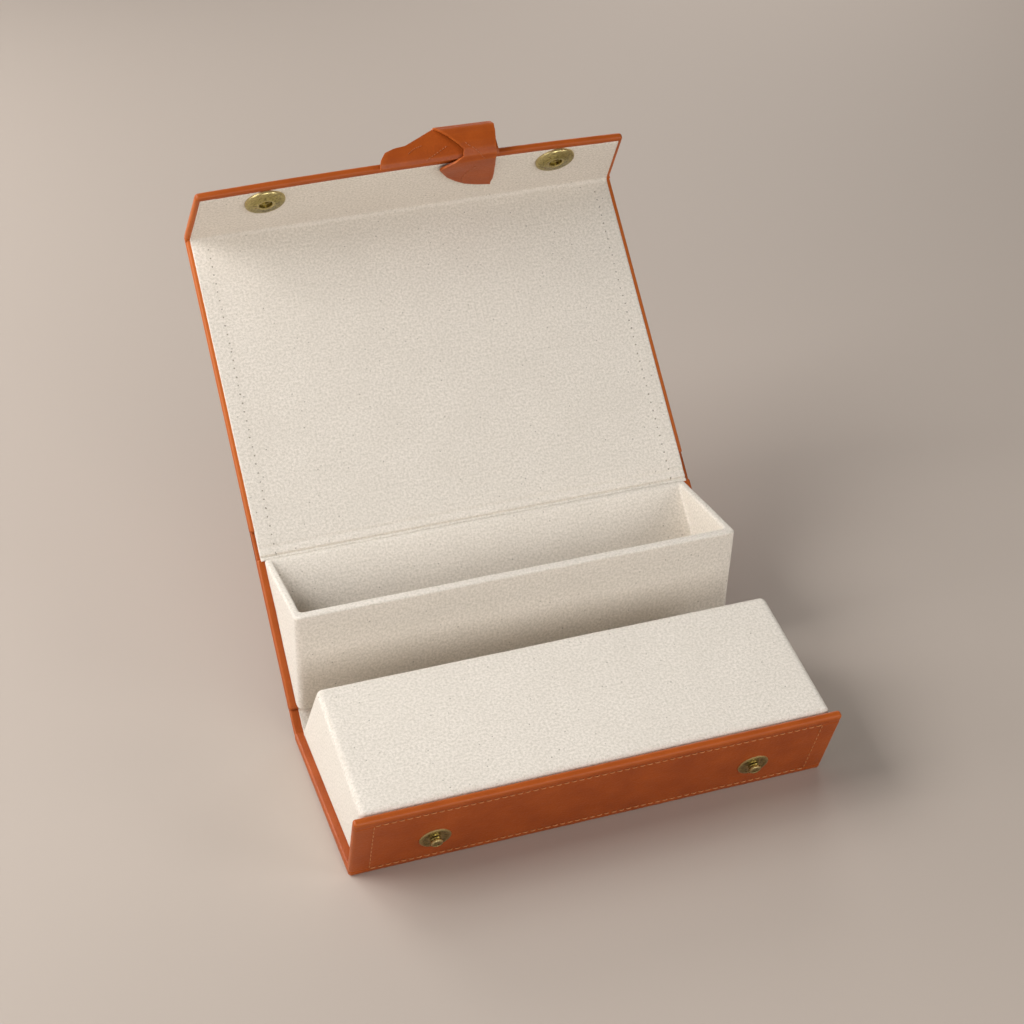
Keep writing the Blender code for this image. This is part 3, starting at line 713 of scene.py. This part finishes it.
def make_fold():
    """Leather round the outside of the fold, and the linen creased inside it."""
    corner = LINED * math.tan(math.radians(FLAP_ANGLE - BACK_ANGLE) / 2)
    outer_start = BACK.flat(FOLD_ALONG, 0)
    outer_corner = BACK.flat(FOLD_ALONG + corner, 0)
    outer_end = FLAP.flat(0, 0)
    inner_end = FLAP.flat(0, PANEL)
    inner_start = BACK.flat(FOLD_ALONG, PANEL)
    corners = [
        (outer_start.x, outer_start.y, 0),
        (outer_corner.x, outer_corner.y, 1.7),
        (outer_end.x, outer_end.y, 0),
        (inner_end.x, inner_end.y, 0),
        (inner_start.x, inner_start.y, 0),
    ]
    made = thing("leather_fold", swept(corners, HALF_WIDTH, SOFT_EDGE, still=(2, 3, 4)), LEATHER)
    cloth_map(made, BACK)
    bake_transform(made)
    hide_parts("fold_leather")

    half = HALF_WIDTH - RIM
    start = BACK.flat(FOLD_ALONG - CREASE_REACH, LINED)
    end = FLAP.flat(CREASE_REACH, LINED)

    def place(across, share, depth):
        point = start * (1 - share) ** 2 + FOLD * 2 * share * (1 - share) + end * share**2
        angle = math.radians(BACK_ANGLE + (FLAP_ANGLE - BACK_ANGLE) * share)
        inward = Vector((-math.sin(angle), math.cos(angle)))
        point = point + inward * (turn_in(across, half) + depth)
        return rumpled(Vector((across, point.x, point.y)) * MM, *LINING_RUMPLE)

    crease = sheet_mesh(place, lambda share: half, 0.0, 1.0, 120, 12, LINING_UNDER)
    made = thing("linen_fold", crease, LINEN)
    cloth_map(made, BACK)
    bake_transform(made)


# Flap


# How many straight pieces the flap's arched edge has
ARCH_STEPS = 24


def flap_half(along, margin=0.0):
    return HALF_WIDTH - margin - FLAP_TAPER * along / FLAP_LENGTH


def flap_outline(margin, start, corner):
    end = FLAP_LENGTH - margin
    far = flap_half(end, margin)
    corners = [(-flap_half(start, margin), start, 0), (flap_half(start, margin), start, 0)]
    corners.append((far, end, corner))
    for i in range(1, ARCH_STEPS):
        share = 1 - 2 * i / ARCH_STEPS
        corners.append((far * share, end + FLAP_ARCH * (1 - share * share), 0))
    corners.append((-far, end, corner))
    return corners


def make_flap():
    outline = flap_outline(0, 0, 1.6)
    steps = 6
    outer = []
    for i in range(steps + 1):
        turn = math.pi / 2 * i / steps
        outer.append((SOFT_EDGE * (1 - math.cos(turn)), SOFT_EDGE * (1 - math.sin(turn))))
    levels = outer + [(PANEL - inward, inset) for inward, inset in reversed(outer)]
    loops = []
    for inward, inset in levels:
        ring = rounded(outline, inset, still=(0,))
        loops.append([rumpled(FLAP.at(p.x, p.y, inward), 0.06, 22) for p in ring])
    made = thing("leather_flap", lofted(loops), LEATHER, "flap")
    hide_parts("flap_leather", "flap_board")
    cloth_map(made, FLAP)

    end = FLAP_LENGTH - RIM

    def place(across, level, depth):
        half = flap_half(level, RIM)
        arch = FLAP_ARCH * (1 - (across / half) ** 2)
        along = level + (level - CREASE_REACH) / (end - CREASE_REACH) * arch
        near = end + arch - along
        height = LINED + turn_in(across, half) + min(depth, -edge_drop(near, CUT_EDGE))
        return rumpled(FLAP.at(across, along, height), *LINING_RUMPLE)

    def span(level):
        return flap_half(level, RIM)

    lining = sheet_mesh(place, span, CREASE_REACH, end, 120, 40, LINING_UNDER)
    made = thing("linen_flap", lining, LINEN, "flap")
    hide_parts("flap_lining")
    cloth_map(made, FLAP)


# Tray


TRAY_HALF = BLOCK_HALF
TRAY_DEPTH = 49.8
TRAY_ROOM = 45.8
TRAY_RIM = 1.1
TRAY_WALLS = (2.2, 3.3, 5.0)
TRAY_CORNER = 2.8


def tray_places():
    """The tray's side view: back, rim, front and foot."""
    return [
        BACK.flat(14.94, LINED),
        BACK.flat(77.94, LINED),
        BACK.flat(41.64, 50.5),
        BACK.flat(10.54, 9.3),
    ]


def tray_ring(depth, back, side, front, corner):
    """A ring round the tray this far under its mouth, with its four sides this far in."""
    places = tray_places()
    mouth = (places[1] - places[2]).normalized()
    down = Vector((mouth.y, -mouth.x))
    if down.dot(places[3] - places[2]) < 0:
        down = -down
    shifted = moved_in(places, (back, 0, front, 0))
    level = places[2] + down * depth
    near = crossing(shifted[2], shifted[3] - shifted[2], level, mouth)
    far = crossing(shifted[0], shifted[1] - shifted[0], level, mouth)
    half = TRAY_HALF - side
    length = (far - near).length
    hind = min(corner, 1.2)
    plan = rounded(
        [(-half, 0, corner), (half, 0, corner), (half, length, hind), (-half, length, hind)],
        steps=5,
    )
    ring = []
    for i, p in enumerate(plan):
        q = plan[(i + 1) % len(plan)]
        count = {5: 44, 11: 8, 17: 44, 23: 8}.get(i, 1)
        for k in range(count):
            spot = p.lerp(q, k / count)
            place = near + mouth * spot.y
            ring.append(rumpled(Vector((spot.x, place.x, place.y)) * MM, 0.16, 18))
    return ring


def make_tray():
    """One open wedge-shaped cup: up its outside, over the soft rim and down the compartment."""
    rings = []
    count = 12
    for i in range(count + 1):
        depth = TRAY_DEPTH - (TRAY_DEPTH - TRAY_RIM) * i / count
        rings.append(tray_ring(depth, 0.0, 0.0, 0.0, TRAY_CORNER))
    steps = 5
    for i in range(1, steps + 1):
        turn = math.pi / 2 * i / steps
        shift = TRAY_RIM * (1 - math.cos(turn))
        depth = TRAY_RIM * (1 - math.sin(turn))
        rings.append(tray_ring(depth, shift * 0.9, shift, shift, TRAY_CORNER))
    for i in range(steps + 1):
        turn = math.pi / 2 * i / steps
        shift = TRAY_RIM * (1 - math.sin(turn))
        depth = TRAY_RIM * (1 - math.cos(turn))
        back, side, front = TRAY_WALLS
        rings.append(tray_ring(depth, back - shift * 0.9, side - shift, front - shift, 2.0))
    for i in range(1, count + 1):
        depth = TRAY_RIM + (TRAY_ROOM - TRAY_RIM) * i / count
        rings.append(tray_ring(depth, *TRAY_WALLS, 1.6))
    made = thing("linen_tray", lofted(rings), LINEN, "spine")
    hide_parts("tray_wrap", "tray_board", "tray_lining")
    return cloth_map(made, BACK)


# Snaps


def turned(profile, panel, across, along, sides=64):
    """A closed profile of (radius, height) points, turned about a place on a panel."""
    bm = bmesh.new()
    rings = []
    for radius, height in profile:
        if not radius:
            rings.append([bm.verts.new(panel.at(across, along, height))])
            continue
        ring = []
        for i in range(sides):
            turn = math.tau * i / sides
            aside, beyond = radius * math.cos(turn), radius * math.sin(turn)
            ring.append(bm.verts.new(panel.at(across + aside, along + beyond, height)))
        rings.append(ring)
    pairs = list(zip(rings, rings[1:]))
    if len(rings[0]) > 1:
        pairs.append((rings[-1], rings[0]))
    for lower, upper in pairs:
        for i in range(sides):
            j = (i + 1) % sides
            corners = [lower[i % len(lower)], lower[j % len(lower)]]
            corners += [upper[j % len(upper)], upper[i % len(upper)]]
            bm.faces.new(list(dict.fromkeys(corners)))
    return bm


SNAP_ACROSS = 66.5
SOCKET_ALONG = 27.5
STUD_ALONG = 17.4


def make_stud(side, across):
    plate = [
        (1.5, 0.2),
        (6.0, 0.2),
        (6.5, 0.0),
        (6.5, -0.25),
        (6.2, -0.5),
        (5.4, -0.55),
        (4.7, -0.42),
        (3.2, -0.5),
        (1.5, -0.75),
    ]
    made = thing(f"snap_plate_{side}", turned(plate, FRONT, across, STUD_ALONG), BRASS, "base")
    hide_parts(f"stud_plate_{side}")
    cloth_map(made, FRONT)
    post = [
        (0, 0.6),
        (1.4, 0.6),
        (1.4, -0.9),
        (2.3, -1.0),
        (2.3, -1.5),
        (1.95, -1.65),
        (1.95, -1.85),
        (2.55, -2.05),
        (2.55, -2.65),
        (2.25, -2.95),
        (1.6, -3.05),
        (1.45, -2.9),
        (0, -2.9),
    ]
    made = thing(f"snap_post_{side}", turned(post, FRONT, across, STUD_ALONG), BRASS, "base", 35)
    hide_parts(f"stud_post_{side}", f"stud_washer_{side}")
    cloth_map(made, FRONT)


def make_socket(side, across):
    top = LINED + 2.25
    profile = [
        (0, LINED + 0.05),
        (2.7, LINED + 0.05),
        (3.0, LINED + 0.35),
        (3.0, top - 0.35),
        (3.25, top - 0.1),
        (3.7, top),
        (4.1, top - 0.02),
        (4.4, top - 0.22),
        (7.6, top - 0.5),
        (8.3, top - 0.75),
        (8.8, top - 1.15),
        (9.0, top - 1.6),
        (9.0, LINED - 0.2),
        (0, LINED - 0.2),
    ]
    disc = turned(profile, FLAP, across, SOCKET_ALONG, sides=80)
    made = thing(f"snap_socket_{side}", disc, BRASS, "flap", 35)
    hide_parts(f"socket_housing_{side}", f"socket_magnet_{side}", f"socket_washer_{side}")
    cloth_map(made, FLAP)


# Stitches


def capsule(bm, start, end, lift, radius, sides=8, steps=6):
    """One stitch: a thread that comes up, runs and goes down again."""
    way = end - start
    side = way.cross(lift).normalized()
    rings = []
    up = lift.normalized()
    for i in range(steps + 1):
        share = i / steps
        rise = math.sin(math.pi * share) ** 0.5
        centre = start + way * share + lift * (rise * 0.7 - 0.35)
        size = radius * (0.55 + 0.45 * rise)
        ring = []
        for k in range(sides):
            turn = math.tau * k / sides
            round_it = side * (math.cos(turn) * size) + up * (math.sin(turn) * size)
            ring.append(bm.verts.new(centre + round_it))
        rings.append(ring)
    for lower, upper in zip(rings, rings[1:]):
        for k in range(sides):
            m = (k + 1) % sides
            bm.faces.new((lower[k], lower[m], upper[m], upper[k]))
    bm.faces.new(list(reversed(rings[0])))
    bm.faces.new(rings[-1])


def stitch_row(bm, start, end, lift, pitch, gap, radius):
    length = (end - start).length
    count = max(1, round(length / (pitch * MM)))
    for i in range(count):
        first = start + (end - start) * ((i + gap) / count)
        last = start + (end - start) * ((i + 1 - gap) / count)
        capsule(bm, first, last, lift, radius * MM)


def make_front_stitches():
    bm = bmesh.new()
    across = HALF_WIDTH - SEAM_INSET
    lift = -FRONT.inward * (0.34 * MM)
    seam = [(-across, SEAM_HIGH), (across, SEAM_HIGH), (across, SEAM_LOW), (-across, SEAM_LOW)]
    corners = [FRONT.at(*corner, 0.05) for corner in seam]
    for i, corner in enumerate(corners):
        stitch_row(bm, corner, corners[(i + 1) % len(corners)], lift, 3.1, 0.14, 0.22)
    made = thing("stitches_front", bm, THREAD, "base")
    cloth_map(made, FRONT)


# Pull tab


# The left and right place of each row of a layer: across, along the flap, in from its outside
TAB_ROWS = [
    ((10.6, 43.6, -11.0), (36.6, 43.6, -10.6)),
    ((12.6, 45.2, -8.6), (37.6, 44.9, -8.6)),
    ((15.6, 46.0, -5.2), (37.2, 45.4, -5.2)),
    ((18.8, 46.0, -1.6), (36.6, 45.2, -1.6)),
    ((21.2, 45.0, 1.6), (36.0, 44.6, 1.6)),
    ((20.6, 43.6, 4.2), (35.8, 43.4, 4.2)),
    ((16.6, 41.6, 5.6), (35.6, 41.6, 5.4)),
    ((11.4, 38.6, 5.9), (36.0, 38.4, 5.3)),
    ((10.6, 36.6, 5.7), (36.6, 35.0, 5.1)),
    ((12.8, 32.2, 5.0), (37.2, 30.0, 4.9)),
    ((15.7, 27.1, 4.6), (37.8, 25.4, 4.8)),
    ((20.2, 22.6, 4.6), (38.1, 20.6, 4.8)),
    ((25.0, 18.9, 4.6), (37.7, 17.0, 4.8)),
    ((31.0, 16.4, 4.6), (38.0, 14.9, 4.8)),
]
BACK_ROWS = [
    ((-16.6, 41.4, 3.9), (37.4, 41.4, 3.9)),
    ((-16.4, 42.4, 2.4), (37.4, 42.2, 2.4)),
    ((-15.6, 43.0, 0.2), (37.4, 42.4, 0.4)),
    ((-13.4, 43.4, -2.6), (37.4, 42.4, -2.2)),
    ((-9.4, 43.5, -3.9), (37.4, 42.4, -4.2)),
    ((-4.0, 43.3, -4.5), (37.4, 42.4, -6.0)),
    ((3.0, 43.1, -7.6), (37.3, 42.4, -8.2)),
    ((9.6, 42.9, -10.6), (36.9, 42.4, -10.4)),
    ((10.6, 43.6, -11.0), (36.6, 43.6, -10.6)),
]


# The tab's leather and the rounding of its edges
TAB_THICKNESS = 1.1
TAB_EDGE = 0.35

# How many stitches each run of a tab seam has, and how far above its middle layer they lie
TAB_STITCHES = 8
TAB_STITCH_LEVEL = 0.6

# Seams on the tab, as (across, along) shares of each layer
TAB_SEAMS = [
    [(0.19, 0.055), (0.19, 0.264), (0.8, 0.483)],
    [(0.66, 0.607), (0.04, 0.915)],
]
BACK_SEAMS = [
    [(0.22, 0.289), (0.29, 0.478)],
    [(0.38, 0.08), (0.56, 0.363)],
]


def tab_surface(rows, u, v):
    """A place on a layer of the tab: u across it and v along it, both from 0 to 1."""
    spot = v * (len(rows) - 1)
    i = min(int(spot), len(rows) - 2)
    left = Vector(rows[i][0]).lerp(Vector(rows[i + 1][0]), spot - i)
    right = Vector(rows[i][1]).lerp(Vector(rows[i + 1][1]), spot - i)
    return left.lerp(right, u)


def layer_mesh(rows, across_count, per_row):
    """A layer of the tab as an open sheet, which gets its thickness after."""
    bm = bmesh.new()
    grid = []
    along_count = (len(rows) - 1) * per_row
    for j in range(along_count + 1):
        row = []
        for i in range(across_count + 1):
            place = tab_surface(rows, i / across_count, j / along_count)
            row.append(bm.verts.new(FLAP.at(*place)))
        grid.append(row)
    for lower, upper in zip(grid, grid[1:]):
        for i in range(across_count):
            bm.faces.new((lower[i], lower[i + 1], upper[i + 1], upper[i]))
    return bm


def above_tab(rows, u, v):
    """A place just above a layer's inner face, and the way out from it."""
    here = FLAP.at(*tab_surface(rows, u, v))
    across = FLAP.at(*tab_surface(rows, u + 0.02, v)) - here
    along = FLAP.at(*tab_surface(rows, u, min(1.0, v + 0.01))) - here
    out = across.cross(along).normalized()
    if out.dot(FLAP.inward) < 0:
        out = -out
    return here + out * (TAB_STITCH_LEVEL * MM), out


def make_tab_stitches():
    """Fine stitches along the tab's seams, just above the leather."""
    bm = bmesh.new()
    for rows, seams in ((TAB_ROWS, TAB_SEAMS), (BACK_ROWS, BACK_SEAMS)):
        for seam in seams:
            for (u0, v0), (u1, v1) in zip(seam, seam[1:]):
                for i in range(TAB_STITCHES):
                    ends = []
                    for share in ((i + 0.15) / TAB_STITCHES, (i + 0.85) / TAB_STITCHES):
                        u, v = u0 + (u1 - u0) * share, v0 + (v1 - v0) * share
                        place, out = above_tab(rows, u, v)
                        ends.append(place)
                    capsule(bm, *ends, out * (0.2 * MM), 0.17 * MM)
    made = thing("stitches_tab", bm, TAB_THREAD, "flap")
    cloth_map(made, FLAP)


def make_tab():
    for name, rows in (("tab_front", TAB_ROWS), ("tab_back", BACK_ROWS)):
        made = thing(name, layer_mesh(rows, 20, 4), LEATHER)
        thick = made.modifiers.new("leather", "SOLIDIFY")
        thick.thickness = TAB_THICKNESS * MM
        thick.offset = 0
        soft = made.modifiers.new("edge", "BEVEL")
        soft.width = TAB_EDGE * MM
        soft.segments = 3
        soft.limit_method = "ANGLE"
        soft.angle_limit = math.radians(60)
        depsgraph = bpy.context.evaluated_depsgraph_get()
        mesh = bpy.data.meshes.new_from_object(made.evaluated_get(depsgraph))
        made.modifiers.clear()
        made.data = mesh
        mesh.shade_smooth()
        mesh.set_sharp_from_angle(angle=math.radians(50))
        cloth_map(made, FLAP)
        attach(made, "flap")
    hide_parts("pull_tab")


# Camera, floor and light


# The camera's place, its turn to the right, its tilt down and its lean, and its lens
CAMERA_PLACE = (-226.73, -652.63, 558.01)
CAMERA_TURNS = (17.86, 32.41, 1.0)
CAMERA_LENS = 74.41

# The floor's and the backdrop's colour
BACKDROP = (0.466, 0.396, 0.340, 1)


def make_camera():
    yaw, pitch, roll = [math.radians(degrees) for degrees in CAMERA_TURNS]
    forward = Vector(
        (math.sin(yaw) * math.cos(pitch), math.cos(yaw) * math.cos(pitch), -math.sin(pitch))
    )
    level = Vector((math.cos(yaw), -math.sin(yaw), 0))
    down = forward.cross(level)
    right = level * math.cos(roll) + down * math.sin(roll)
    down = forward.cross(right)
    data = bpy.data.cameras.new("camera")
    data.sensor_width = 36
    data.lens = CAMERA_LENS
    data.clip_start = 0.01
    data.clip_end = 20
    camera = bpy.data.objects.new("camera", data)
    bpy.context.scene.collection.objects.link(camera)
    turn = Matrix((right, -down, -forward)).transposed().to_4x4()
    camera.matrix_world = Matrix.Translation(Vector(CAMERA_PLACE) * MM) @ turn
    bpy.context.scene.camera = camera


def aimed(name, place, target, power, size):
    """A square lamp that faces the target."""
    data = bpy.data.lights.new(name, "AREA")
    data.energy = power
    data.shape = "SQUARE"
    data.size = size
    light = bpy.data.objects.new(name, data)
    bpy.context.scene.collection.objects.link(light)
    light.location = place
    light.rotation_euler = (target - place).to_track_quat("-Z", "Y").to_euler()


# The lamps, in metres from the box's middle
LAMP_AWAY = 1.3
LAMPS = [
    # name, degrees round from the front to the right, degrees above the floor, watts, metres across
    ("behind_low", -150, 20, 4.6, 0.5),
    ("behind", -150, 45, 2.4, 0.6),
    ("left_behind", -120, 45, 4.9, 0.6),
    ("left_low", -90, 20, 3.2, 0.5),
    ("left", -90, 45, 8.6, 0.6),
    ("left_front", -60, 20, 1.5, 0.5),
    ("front", 0, 20, 5.6, 0.5),
    ("right_front", 45, 20, 4.9, 0.5),
    ("right_behind", 150, 20, 2.9, 0.5),
]


def make_floor():
    bm = bmesh.new()
    reach = 4.0
    corners = [(-reach, -reach), (reach, -reach), (reach, reach), (-reach, reach)]
    bm.faces.new([bm.verts.new((x, y, 0)) for x, y in corners])
    finish = Finish("floor")
    finish.shader.inputs["Base Color"].default_value = BACKDROP
    finish.shader.inputs["Roughness"].default_value = 0.7
    finish.shader.inputs["Specular IOR Level"].default_value = 0.2
    floor = thing("floor", bm, finish.material)


def make_world():
    """A faint even light, with the backdrop where the camera, metal or glass would see it."""
    world = bpy.data.worlds.new("studio")
    bpy.context.scene.world = world
    world.use_nodes = True
    nodes, links = world.node_tree.nodes, world.node_tree.links
    background = nodes["Background"]
    background.inputs["Color"].default_value = (1.0, 0.98, 0.96, 1)
    background.inputs["Strength"].default_value = 0.015
    seen = nodes.new("ShaderNodeBackground")
    seen.inputs["Color"].default_value = BACKDROP
    seen.inputs["Strength"].default_value = 0.6
    rays = nodes.new("ShaderNodeLightPath")
    shown = rays.outputs["Is Camera Ray"]
    for kind in ("Is Glossy Ray", "Is Transmission Ray"):
        more = nodes.new("ShaderNodeMath")
        more.operation = "MAXIMUM"
        links.new(shown, more.inputs[0])
        links.new(rays.outputs[kind], more.inputs[1])
        shown = more.outputs["Value"]
    either = nodes.new("ShaderNodeMixShader")
    links.new(shown, either.inputs["Fac"])
    links.new(background.outputs["Background"], either.inputs[1])
    links.new(seen.outputs["Background"], either.inputs[2])
    links.new(either.outputs["Shader"], nodes["World Output"].inputs["Surface"])


def make_stage():
    make_floor()
    make_world()
    target = Vector((0, 0.05, 0.05))
    for name, around, above, power, size in LAMPS:
        turn, rise = math.radians(around), math.radians(above)
        level = Vector((math.sin(turn), -math.cos(turn), 0)) * math.cos(rise)
        way = level + Vector((0, 0, math.sin(rise)))
        aimed(name, target + way * LAMP_AWAY, target, power, size)
    bpy.context.scene.view_settings.view_transform = "Standard"


make_camera()
make_stage()
make_base()
make_block()
make_spine_gutter()
slab("leather_spine", SPINE_START, SPINE_END, "spine", "spine_leather", "spine_board")
make_tray()
make_cover_gutter()
slab("leather_cover", COVER_START, FOLD_ALONG, "cover", "cover_leather", "cover_board")
make_cover_lining()
make_fold()
make_flap()
for side, across in (("left", -SNAP_ACROSS), ("right", SNAP_ACROSS)):
    make_stud(side, across)
    make_socket(side, across)
make_front_stitches()
make_tab()
make_tab_stitches()
